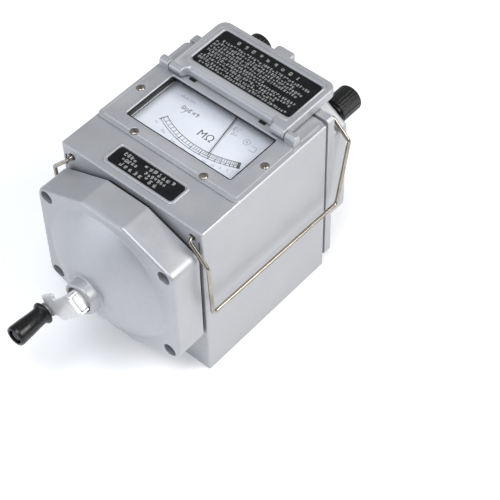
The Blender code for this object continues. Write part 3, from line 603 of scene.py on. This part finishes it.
def hinge_ear(x):
    """A bracket on the panel whose round top stands on the lid's axis."""
    side = ([(HINGE_Y - 3.6, 141.0), (HINGE_Y + 3.6, 141.0), (HINGE_Y + 3.0, HINGE_Z + 3.0),
             (HINGE_Y - 3.0, HINGE_Z + 3.0)], [0.8, 0.8, 2.8, 2.8])
    levels = edge_levels(x[0], x[1], 0.7, 0.7, 4)
    return skin([[(u, y, z) for y, z in outline_at(side, d)] for u, d in levels])


def panel_screws():
    for number, (x, y) in enumerate(panel_screw_places(), 1):
        head = [(0, -4), (1.5, -4), (1.5, 0), (2.75, 0), (2.75, 0.35), (2.1, 0.85), (1.1, 1.0), (0, 1.0)]
        screw = along(lathe(filleted(head, [0, 0, 0, 0.1, 0.2, 0.5, 0, 0], 3), 48), "Z")
        cut = along(block((-0.42, 0.42), (0.45, 2), (-4, 4)), "Z")
        turn = Matrix.Rotation(radians(55 + 70 * number), 3, "Z")
        bmesh.ops.rotate(cut, cent=(0, 0, 0), matrix=turn, verts=cut.verts)
        low, high = span(f"panel_screw_{number}")
        made = moved(combined(screw, [], [cut]), x, y, high.z - 1.0)
        piece(f"panel_fixing_{number}", made, "root", "screw", [f"panel_screw_{number}"])


def window_parts():
    """Black liner of the opening, deeper at its ends, and the clips beside the glass."""
    x0, x1, y0, y1 = WINDOW
    opening = rectangle(x0 + 0.05, x1 - 0.05, y0 + 0.05, y1 - 0.05, 1.4)
    levels = ((141.0, 0.0), (141.25, 0.2), (141.25, 0.6), (141.0, 0.8), (140.3, 0.8), (140.3, 0.0))
    rings = [[(x, y, z) for x, y in outline_at(opening, d)] for z, d in levels]
    liner = skin(rings, around=True)
    ends = [block(sorted((side * 44.4, side * 43.6)), (y0 + 0.3, y1 - 0.3), (137.4, 140.6))
            for side in (-1, 1)]
    piece("window_liner", combined(liner, ends), "root", "bakelite", ["window_gasket"])
    for side, name in ((-1, "left"), (1, "right")):
        x = sorted((side * 46.6, side * 44.9))
        clip = slab(rectangle(x[0], x[1], y0 + 1, y1 + 1.5, 0.4), 134.2, 135.2, 0.1, 0.3)
        piece(f"glass_clip_{name}", clip, "root", "steel", look=LOOKS["casting"])


def flat_marks(shapes, z0, z1):
    """Thin closed tiles, one for each outline of (x, y) points."""
    bm = bmesh.new()
    for outline in shapes:
        low = [bm.verts.new((x, y, z0)) for x, y in outline]
        high = [bm.verts.new((x, y, z1)) for x, y in outline]
        count = len(outline)
        bm.faces.new(list(reversed(low)))
        bm.faces.new(high)
        for i in range(count):
            j = (i + 1) % count
            bm.faces.new((low[i], low[j], high[j], high[i]))
    return bm


def bar(x0, y0, x1, y1, width):
    """Outline of a straight stroke."""
    along_it = (Vector((x1, y1)) - Vector((x0, y0))).normalized() * width / 2
    across = Vector((-along_it.y, along_it.x))
    a, b = Vector((x0, y0)), Vector((x1, y1))
    return [tuple(a - across), tuple(b - across), tuple(b + across), tuple(a + across)]


def lettering(text, size, x, y, z, thick=0.05, turn=0.0):
    """A generic word or number as a thin solid, centred on (x, y)."""
    curve = bpy.data.curves.new("letters", "FONT")
    curve.body = text
    curve.size = size
    curve.extrude = thick / 2
    curve.align_x = "CENTER"
    curve.align_y = "CENTER"
    holder = bpy.data.objects.new("letters", curve)
    bpy.context.scene.collection.objects.link(holder)
    bpy.context.view_layer.update()
    mesh = bpy.data.meshes.new_from_object(holder.evaluated_get(bpy.context.evaluated_depsgraph_get()))
    bpy.data.objects.remove(holder, do_unlink=True)
    bm = bmesh.new()
    bm.from_mesh(mesh)
    bpy.data.meshes.remove(mesh)
    bmesh.ops.remove_doubles(bm, verts=bm.verts, dist=0.0005)
    bmesh.ops.rotate(bm, cent=(0, 0, 0), matrix=Matrix.Rotation(turn, 3, "Z"), verts=bm.verts)
    return moved(bm, x, y, z + thick / 2)


def merged(meshes):
    """One mesh holding several."""
    whole = bmesh.new()
    for part in meshes:
        data = bpy.data.meshes.new("part")
        part.to_mesh(data)
        part.free()
        whole.from_mesh(data)
        bpy.data.meshes.remove(data)
    return whole


SCALE_X, SCALE_Y = 1.7, 131.0          # centre of the printed arcs
ARC_IN, ARC_MID, ARC_OUT = 72.3, 75.4, 77.0
ARC_START, ARC_END = -26.0, 26.0       # degrees from straight towards the crank


def on_scale(radius, degrees):
    a = radians(degrees)
    return SCALE_X + radius * sin(a), SCALE_Y - radius * cos(a)


def arc_tiles(radius, width, start, end, step=1.0):
    tiles = []
    count = int((end - start) / step)
    for i in range(count):
        a, b = start + (end - start) * i / count, start + (end - start) * (i + 1) / count
        tiles.append([on_scale(radius - width / 2, a), on_scale(radius + width / 2, a),
                      on_scale(radius + width / 2, b), on_scale(radius - width / 2, b)])
    return tiles


def dial_print():
    """Scale arcs, divisions that crowd towards zero, faint numbers and the unit."""
    top = dial_high.z
    low, high = top + 0.02, top + 0.07
    tiles = []
    for radius, width in ((ARC_IN, 0.45), (ARC_MID, 0.28), (ARC_OUT, 0.45)):
        tiles += arc_tiles(radius, width, ARC_START, ARC_END)
    major = [-26.0, -10.2, -1.5, 4.5, 9.6, 13.2, 16.2, 18.8, 21.0, 23.0, 24.6]
    for start, end in zip(major, major[1:]):
        tiles.append(bar(*on_scale(ARC_IN, end), *on_scale(ARC_OUT + 0.4, end), 0.5))
        parts = 6 if start < -20 else 4 if start < 5 else 3 if start < 16 else 2
        for i in range(1, parts):
            angle = start + (end - start) * (i / parts) ** 0.92
            tiles.append(bar(*on_scale(ARC_IN, angle), *on_scale(ARC_MID, angle), 0.36))
    tiles.append(bar(*on_scale(ARC_IN - 0.6, ARC_START), *on_scale(ARC_OUT + 1.0, ARC_START), 0.75))
    tiles.append(bar(*on_scale(ARC_IN, 25.4), *on_scale(ARC_OUT + 0.5, 25.4), 1.9))
    rng = random.Random(11)
    tiles += glyph_row(rng, -28.5, -13.5, 77.4, 2.7, 2.9, 0.42)
    tiles.append(bar(-25.6, 74.0, -23.6, 77.6, 0.35))
    piece("scale_marks", flat_marks(tiles, low, high), "root", "black_plate", look=FINISHES["black_ink"])
    unit = lettering("MΩ", 8.2, 0.8, 68.6, low)
    piece("scale_unit", unit, "root", "black_plate", look=FINISHES["black_ink"])
    numbers = [("∞", -25.0), ("500", -18.0), ("200", -10.2), ("100", -3.5), ("50", 3.0), ("20", 9.0),
               ("10", 13.6), ("5", 17.6), ("2", 21.0), ("1", 23.4), ("0", 25.8)]
    written = [lettering(text, 2.9, *on_scale(ARC_OUT + 3.6, angle), low, turn=radians(angle))
               for text, angle in numbers]
    faint = glyph_row(rng, -36, -22, 85.5, 2.0, 2.2, 0.3) + glyph_row(rng, 10, 17, 84.5, 2.8, 3.0, 0.4)
    faint += glyph_row(rng, 11, 19, 80.5, 2.6, 2.8, 0.35)
    faint += ring_tiles(24.5, 81.8, 2.3, 0.4) + ring_tiles(24.5, 81.8, 0.5, 0.5)
    faint += [bar(*a, *b, 0.4) for a, b in (((29, 77.5), (33.5, 77.5)), ((33.5, 77.5), (33.5, 81.5)),
                                            ((33.5, 81.5), (29, 81.5)))]
    written.append(flat_marks(faint, low, high))
    piece("scale_numbers", merged(written), "root", "black_plate", look=FINISHES["grey_ink"])


def ring_tiles(x, y, radius, width, sides=24):
    tiles = []
    for i in range(sides):
        a, b = 2 * pi * i / sides, 2 * pi * (i + 1) / sides
        tiles.append([(x + r * cos(t), y + r * sin(t)) for r, t in
                      ((radius - width / 2, a), (radius + width / 2, a), (radius + width / 2, b),
                       (radius - width / 2, b))])
    return tiles


def glyph(rng, x, y, width, height, stroke):
    """An invented sign made of a few straight strokes; it spells nothing."""
    rows = sorted(rng.sample((0.0, 0.33, 0.66, 1.0), rng.choice((2, 3))))
    tiles = []
    for share in rows:
        reach = rng.choice((0.1, 0.1, 0.3))
        tiles.append(bar(x + width * reach, y + height * share, x + width * (1 - reach), y + height * share,
                         stroke))
    for share in rng.sample((0.12, 0.5, 0.88), rng.choice((1, 2, 2))):
        low, high = rows[0], rows[-1]
        if rng.random() < 0.3:
            low, high = 0.0, 1.0
        tiles.append(bar(x + width * share, y + height * low, x + width * share, y + height * high, stroke))
    return tiles


def glyph_row(rng, x0, x1, y, size, pitch, stroke):
    tiles = []
    count = int((x1 - x0) / pitch)
    for i in range(count):
        tiles += glyph(rng, x0 + i * pitch, y, size * 0.86, size, stroke)
    return tiles


def nameplate_parts():
    low, high = span("nameplate")
    shape = rectangle(low.x, high.x, low.y, high.y, 2.2)
    piece("type_plate", slab(shape, low.z, high.z - 0.1, 0, 0.2), "root", "black_plate", ["nameplate"])
    rng = random.Random(5)
    z = high.z - 0.12
    tiles = []
    for x0, x1, y, size, pitch, stroke in (
            (-21.5, -8.0, 17.3, 2.5, 2.75, 0.42), (-4.5, 21.5, 17.3, 2.9, 3.7, 0.42),
            (-20, -5.5, 13.3, 2.3, 2.5, 0.38), (-1.0, 19.5, 13.3, 2.3, 2.6, 0.38),
            (-18.5, 15.0, 9.2, 2.8, 4.1, 0.42)):
        tiles += glyph_row(rng, x0, x1, y, size, pitch, stroke)
    piece("type_plate_signs", flat_marks(tiles, z, z + 0.09), "root", "black_plate",
          look=FINISHES["white_ink"])


def lid_casting():
    """Open lid with its relieved near edge, round barrels, moulded frame and label pocket."""
    x, end = lid_high.x, lid_high.y
    z0, z1 = lid_low.z, lid_high.z
    label_low, label_high = span("lid_label")
    corners = [(-x, 90.4), (-38.4, 90.4), (-36.0, 93.6), (36.0, 93.6), (38.4, 90.4), (x, 90.4),
               (x, end), (-x, end)]
    body = slab((corners, [1.7, 1.7, 1.7, 1.7, 1.7, 1.7, 7.0, 7.0]), z0, z1, 1.0, 1.5, 8)
    joins = []
    for side in (-1, 1):
        barrel = along(rod((z1 - z0) / 2, *sorted((side * 37.6, side * x)), 56, 0.9), "X")
        joins.append(moved(barrel, 0, HINGE_Y, HINGE_Z))
    edge = [(92.8, z0 - 1), (92.8, z1 + 1), (98.2, z1 + 1)]
    turns = [pi / 2 * i / 8 for i in range(9)]
    edge += [(98.2 - 4.4 * sin(a), z1 + 0.02 - 4.4 * (1 - cos(a))) for a in turns]
    edge += [(93.8, z0 - 1)]
    run = ((-36.5, 2.0), (-34.5, 0), (34.5, 0), (36.5, 2.0))
    relief = skin([[(u, y - away, z) for y, z in edge] for u, away in run])
    field = rectangle(-44.9, 44.9, 97.6, end - 3.6, 4.2)
    pocket = rectangle(label_low.x - 0.4, label_high.x + 0.4, label_low.y - 0.4, label_high.y + 0.4, 2.2)
    groove = skin([[(u, v, z) for u, v in outline_at(field, d)] for z, d in
                   ((z1 + 1, 0.0), (z1, 0.0), (z1 - 0.6, 0.3), (z1 - 0.6, 0.7), (z1, 1.4), (z1 + 1, 1.4))],
                  around=True)
    bevel = skin([[(u, v, z) for u, v in outline_at(pocket, d)] for z, d in
                  ((z1 - 1.2, 0.0), (z1 - 0.85, 0.0), (z1 + 0.6, -1.3), (z1 + 1, -1.3))])
    piece("lid_casting", combined(body, joins, [relief, groove, bevel]), "lid", "casting", ["lid"], sharp=45)


def lid_plate():
    """Black label in the lid with rows of invented signs."""
    low, high = span("lid_label")
    label = slab(rectangle(low.x, high.x, low.y, high.y, 2.0), low.z, high.z, 0, 0.1)
    piece("lid_plate", label, "lid", "black_plate", ["lid_label"])
    rng = random.Random(23)
    tiles = glyph_row(rng, low.x + 14, high.x - 10, high.y - 5.2, 2.5, 6.3, 0.38)
    starts = (5.5, 2, 2, 2, 2, 5.5, 2, 2, 5.5)
    stops = (3, 12, 3, 6, 30, 3, 3, 14, 3)
    for row, (start, stop) in enumerate(zip(starts, stops)):
        tiles += glyph_row(rng, low.x + start, high.x - stop, high.y - 9.8 - 2.95 * row, 1.75, 2.25, 0.30)
    piece("lid_plate_signs", flat_marks(tiles, high.z - 0.03, high.z + 0.03), "lid", "black_plate",
          look=FINISHES["white_ink"])


def lid_rests():
    for name, centre in (("left", -31.6), ("right", 28.0)):
        pad = slab(rectangle(centre - 2.6, centre + 2.6, 91.8, 94.6, 0.5), 141.9, 142.5, 0, 0.15)
        piece(f"lid_rest_{name}", pad, "root", "bakelite")


def needle():
    """Pointer: a fine blade, tapering to its tip, on a round hub."""
    low, high = span("pointer")
    x, y = PIVOT.x, PIVOT.y
    blade = skin([[(-0.75, 0, 0), (0.75, 0, 0), (0.75, 0, 0.35), (-0.75, 0, 0.35)],
                  [(-0.42, -20, 0), (0.42, -20, 0), (0.42, -20, 0.3), (-0.42, -20, 0.3)],
                  [(-0.26, -57, 0), (0.26, -57, 0), (0.26, -57, 0.3), (-0.26, -57, 0.3)]])
    tip_angle = atan2(high.x - 0.3 - x, y - low.y)
    bmesh.ops.rotate(blade, cent=(0, 0, 0), matrix=Matrix.Rotation(tip_angle, 3, "Z"), verts=blade.verts)
    hub = along(lathe(filleted([(1.2, 0), (2.6, 0), (2.6, 1.2), (1.2, 1.2)], [0, 0.2, 0.3, 0], 3), 40), "Z")
    made = combined(moved(hub, 0, 0, -0.2), [moved(blade, 0, -1.6 * cos(tip_angle), 0.1)])
    piece("needle", moved(made, x, y, 132.0), "needle", "black_plate", ["pointer"])


# ---------------------------------------------------------------- crank

def crank_turned(bm):
    """Turn a piece drawn with its arm along +X, on the Y axis, to the arm's rest angle."""
    bmesh.ops.rotate(bm, cent=(0, 0, 0), matrix=Matrix.Rotation(-ARM_ANGLE, 3, "Y"), verts=bm.verts)
    return moved(bm, 0, 0, AXIS_Z)


def pin(radius, w0, w1, soft=0.0, sides=40):
    """A cylinder along the fold pin's axis, before the arm is turned."""
    return moved(along(rod(radius, -w1, -w0, sides, soft), "Z"), FOLD_U, -FOLD_OUT, 0)


def crank_hub():
    """Block on the shaft's end, with a collar behind it and a knuckle for the fold pin."""
    hub = plate(rectangle(FOLD_U, 5.0, -5.4, 5.4, 0.5), -59.7, -54.9, 0.5, 0.3)
    joins = [rod(7.5, -55.2, -50.6, 56, 0.3), pin(1.8, -5.4, 5.4, 0.3)]
    made = combined(hub, joins, [rod(3.8, -57.3, -40, 40), pin(PIN_HOLE, -20, 20)])
    piece("hub_block", crank_turned(made), "crank", "chrome", ["crank_hub"], look=FINISHES["hub_painted_reflection"])
    fold = moved(along(rod(1.0, -7.2, 7.2, 40, 0.25), "Z"), FOLD_U, -FOLD_OUT, 0)
    piece("hinge_pin", crank_turned(fold), "crank", "steel", ["fold_pin"])


def shaft_parts():
    rounds = [(0, -57.0), (3.5, -57.0), (3.5, -50.3), (4.7, -50.3), (4.7, 34.0), (0, 34.0)]
    shaft = lathe(filleted(rounds, [0, 0.4, 0.1, 0.4, 0.5, 0], 3), 56)
    piece("drive_shaft", moved(shaft, 0, 0, AXIS_Z), "crank", "steel", ["crank_shaft"])
    ring = [(4.8, -49.7), (8.3, -49.7), (8.3, -38.2), (4.8, -38.2)]
    bush = lathe(filleted(ring, [0.2, 0.5, 0.2, 0.2], 3), 64)
    piece("bearing_bush", moved(bush, 0, 0, AXIS_Z), "root", "brass", ["shaft_bush"])


def crank_arm():
    """Pressed arm: its cheeks straddle the hub, the web swells, carries a lug and ends at the grip."""
    corners = [(-9.9, -7.2), (-7.2, -9.1), (13.0, -7.9), (9.6, -12.7), (24.6, -14.0), (27.0, -8.7),
               (37.5, -8.7), (37.5, 2.3), (23.4, 2.2), (19.6, 7.3), (-9.9, 7.2)]
    radii = [1.0, 2.0, 0.8, 1.3, 1.6, 0.8, 5.4, 5.4, 0.8, 2.2, 0.8]
    web = plate((corners, radii), WEB_FRONT, WEB_BACK, 0.45, 0.3, 7)
    boss = filleted([(0, -61), (4.2, -61), (4.2, -63.2), (0, -63.2)], [0, 0, 0.4, 0], 3)
    joins = [moved(lathe(boss, 48), GRIP_U, 0, GRIP_W)]
    for side in (-1, 1):
        w = sorted((side * 5.7, side * 7.1))
        joins.append(plate(rectangle(-9.8, 4.0, w[0], w[1], 0.3), -61.0, -55.5, 0.3, 0))
    cuts = [pin(2.1, -5.55, 5.55), pin(PIN_HOLE, -20, 20), moved(rod(2.3, -70, -50, 40), GRIP_U, 0, GRIP_W),
            plate(rectangle(-12, FOLD_U + 0.2, -5.55, 5.55, 0), -64, -54)]
    made = combined(web, joins, cuts)
    piece("arm_plate", crank_turned(made), "arm", "steel", ["crank_arm"], look=LOOKS["nickel"])
    spindle = [(0, -57.9), (3.4, -57.9), (3.4, -59.7), (2.0, -59.7), (2.0, -87.6), (3.6, -87.6), (3.6, -89.2),
               (0, -89.2)]
    turned = lathe(filleted(spindle, [0, 0.6, 0.1, 0, 0, 0.1, 0.5, 0], 3), 48)
    slot_cut = block((-0.5, 0.5), (-90, -88.5), (-4, 4))
    made = moved(combined(turned, [], [slot_cut]), GRIP_U, 0, GRIP_W)
    piece("grip_screw", crank_turned(made), "arm", "steel", ["grip_spindle"], look=LOOKS["magnet"])


def crank_grip():
    """Turned grip: a flange beside the arm, a waist, and a swelling body with a hollow end."""
    profile = [(2.4, -63.6), (7.0, -63.6), (8.0, -64.3), (8.0, -65.7), (6.9, -66.8), (6.1, -68.0),
               (6.3, -73.0), (6.9, -80.0), (7.4, -88.2), (7.0, -90.0), (6.1, -90.5), (5.2, -89.9),
               (5.2, -87.2), (2.4, -87.2)]
    radii = [0.2, 0.6, 0.5, 0.6, 0.7, 1.2, 4.0, 4.0, 1.2, 0.4, 0.3, 0.3, 0.2, 0.2]
    body = moved(lathe(filleted(profile, radii, 5), 96), GRIP_U, 0, GRIP_W)
    piece("grip_body", crank_turned(body), "grip", "bakelite", ["grip"])


# ---------------------------------------------------------------- terminals and bails

def fluted(radius, y, angle):
    """Twenty-four round-topped flutes along the knob's barrel."""
    if radius < 9.3 or not 152.5 < y < 169.8:
        return radius
    return radius - 0.35 * (0.5 + 0.5 * cos(24 * angle)) ** 2


def terminals():
    for name in ("line", "earth", "guard"):
        low, high = span(f"{name}_terminal_base")
        x, z = (low.x + high.x) / 2, (low.z + high.z) / 2
        base = filleted([(2.8, 143.3), (9.8, 143.3), (9.8, 146.6), (8.2, 147.8), (2.8, 147.8)],
                        [0.1, 0.4, 1.0, 0.5, 0.1], 4)
        piece(f"{name}_insulator", moved(lathe(base, 72), x, 0, z), "root", "bakelite",
              [f"{name}_terminal_base"])
        stud = filleted([(0, 136), (2.5, 136), (2.5, 165.5), (0, 165.5)], [0, 0.3, 0.6, 0], 3)
        piece(f"{name}_stud", moved(lathe(stud, 40), x, 0, z), "root", "brass", [f"{name}_terminal_stud"])
        washer = filleted([(2.8, 148.1), (7.4, 148.1), (7.4, 149.5), (2.8, 149.5)], 0.3, 3)
        piece(f"{name}_washer", moved(lathe(washer, 64), x, 0, z), f"{name}_washer", "chrome",
              [f"{name}_terminal_washer"])
        piece(f"{name}_knob", moved(knob(), x, 0, z), f"{name}_knob", "bakelite", [f"{name}_terminal_knob"],
              sharp=60)


def knob():
    end = span("line_terminal_knob")[1].y
    profile = [(2.8, 149.8), (8.5, 149.8), (9.0, 150.2), (9.0, 150.7), (8.5, 150.95), (8.5, 151.35),
               (9.2, 151.6), (9.2, 151.95), (8.8, 152.15), (9.45, 152.45), (9.6, 152.8)]
    profile += [(9.6, 152.8 + (169.6 - 152.8) * i / 10) for i in range(1, 11)]
    profile += [(9.35, end - 1.0), (8.9, end - 0.5), (8.2, end - 0.2), (7.0, end - 0.05), (5.0, end - 0.05),
                (4.6, end - 0.4), (0, end - 0.4), (0, end - 2.0), (2.8, end - 2.0)]
    return lathe(profile, 192, fluted)


def bail(name, side):
    """Plated wire handle: pivot ends, arms and the long run between them."""
    route = [(BAIL_X, 3.0, BAIL_Z), (BAIL_X, -2.9, BAIL_Z), (66.4, -2.9, 115.0), (66.8, -1.2, 69.5),
             (66.8, 123.0, 66.0), (66.4, 134.4, 117.5), (BAIL_X, 134.4, BAIL_Z), (BAIL_X, 123.5, BAIL_Z)]
    route = [Vector((side * x, y, z)) for x, y, z in route]
    points = [route[0]]
    for before, corner, after in zip(route, route[1:], route[2:]):
        points += arc_corner(before, corner, after, 3.2, 10)
    points.append(route[-1])
    piece(f"{name}_wire", tube(points, BAIL_WIRE), name, "chrome", [name])


# ---------------------------------------------------------------- CAD nodes that stay

def dress_frame():
    """Give the kept CAD nodes the material of their slot."""
    slots = {row["node"]: row["material_slot"] for row in frame["record"]["subparts"]}
    for name, thing in frame["nodes"].items():
        for holder in thing.material_slots:
            holder.material = LOOKS[slots[name]]


# ---------------------------------------------------------------- stage

def floor():
    bm = bmesh.new()
    reach = 3.0
    bmesh.ops.create_grid(bm, x_segments=1, y_segments=1, size=reach)
    mesh = bpy.data.meshes.new("floor")
    bm.to_mesh(mesh)
    bm.free()
    mesh.materials.append(simple("pale_floor", (0.90, 0.90, 0.90), (0.93, 0.93, 0.93), 0.8, patch=3.0,
                                 grain=60.0, relief=0.01, Emission_Color=(0.97, 0.98, 1.0, 1.0),
                                 Emission_Strength=0.22))
    thing = bpy.data.objects.new("floor", mesh)
    bpy.context.scene.collection.objects.link(thing)


def area_light(name, place, target, size, power, colour=(1, 1, 1)):
    light = bpy.data.lights.new(name, "AREA")
    light.shape = "RECTANGLE"
    light.size, light.size_y = size
    light.energy = power
    light.color = colour
    thing = bpy.data.objects.new(name, light)
    thing.location = place
    thing.rotation_euler = (Vector(target) - Vector(place)).to_track_quat("-Z", "Y").to_euler()
    bpy.context.scene.collection.objects.link(thing)


def lights():
    middle = (0, 0, 0.07)
    area_light("key", (0.92, 0.45, 0.95), middle, (0.7, 0.7), 11.5, (1.0, 0.99, 0.97))
    area_light("fill", (-0.6, -1.1, 0.40), middle, (0.8, 0.6), 3.6, (0.82, 0.88, 1.0))
    area_light("top", (0.1, -0.4, 1.4), middle, (0.8, 0.8), 12.0, (0.92, 0.94, 1.0))
    world = bpy.data.worlds.new("studio")
    world.use_nodes = True
    background = world.node_tree.nodes["Background"]
    background.inputs["Color"].default_value = (0.93, 0.95, 1.0, 1.0)
    background.inputs["Strength"].default_value = 0.36
    bpy.context.scene.world = world


CAMERA_PLACE = Vector((0.4975, -0.5037, 0.8899))
CAMERA_TARGET = Vector((0.03101, 0.0155, 0.03314))
CAMERA_LENS, CAMERA_ROLL = 116.74, -0.024


def camera():
    data = bpy.data.cameras.new("camera")
    data.lens = CAMERA_LENS
    data.sensor_width = 36.0
    data.clip_start, data.clip_end = 0.05, 20.0
    thing = bpy.data.objects.new("camera", data)
    look = (CAMERA_TARGET - CAMERA_PLACE).to_track_quat("-Z", "Y").to_matrix()
    thing.location = CAMERA_PLACE
    thing.rotation_euler = (look @ Matrix.Rotation(CAMERA_ROLL, 3, "Z")).to_euler()
    bpy.context.scene.collection.objects.link(thing)
    bpy.context.scene.camera = thing


def build():
    camera()
    floor()
    lights()
    dress_frame()
    case_shell()
    gear_cover()
    cover_seam_shade()
    terminal_housing()
    cover_screws()
    top_panel()
    panel_screws()
    window_parts()
    dial_print()
    nameplate_parts()
    lid_casting()
    lid_plate()
    lid_rests()
    needle()
    shaft_parts()
    crank_hub()
    crank_arm()
    crank_grip()
    terminals()
    bail("bail_left", -1)
    bail("bail_right", 1)
    bpy.context.scene.view_settings.view_transform = "Standard"


build()
